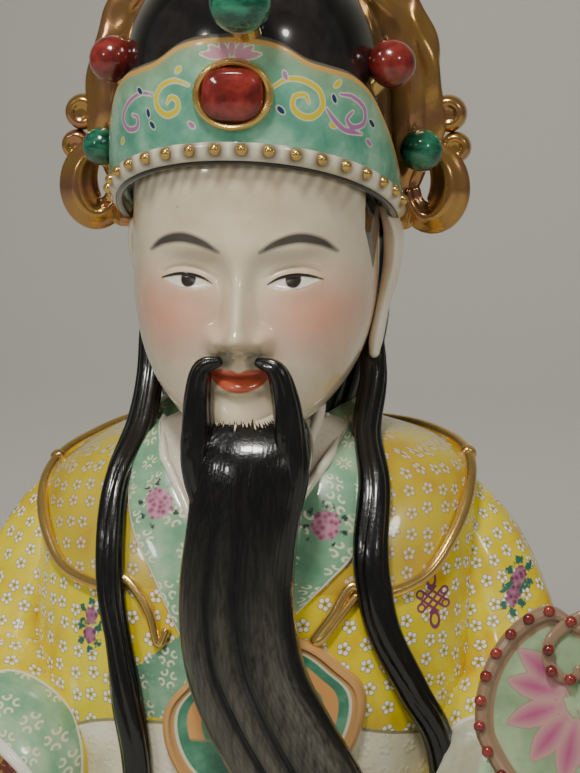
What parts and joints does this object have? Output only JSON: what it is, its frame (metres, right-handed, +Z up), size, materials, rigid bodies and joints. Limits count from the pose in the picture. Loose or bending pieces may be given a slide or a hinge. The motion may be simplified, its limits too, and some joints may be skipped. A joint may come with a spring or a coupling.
{
  "type": "porcelain bust of a Chinese star god",
  "caption": "Glazed porcelain bust of a bearded Chinese star god in an official's hat, with a sceptre head at the shoulder, cut flat below to stand on its underside.",
  "frame": {"origin": "middle of the bust's box, on the flat underside", "axes": "+Z up along the height, the face looks along -Y, +X to the viewer's right"},
  "size_m": [0.1822, 0.1124, 0.212],
  "materials": {
    "glazed_porcelain": "white porcelain with painted overglaze enamels, gilding and a clear glossy glaze"
  },
  "bodies": {
    "root": {"porcelain_bust": "glazed_porcelain"}
  },
  "joints": []
}
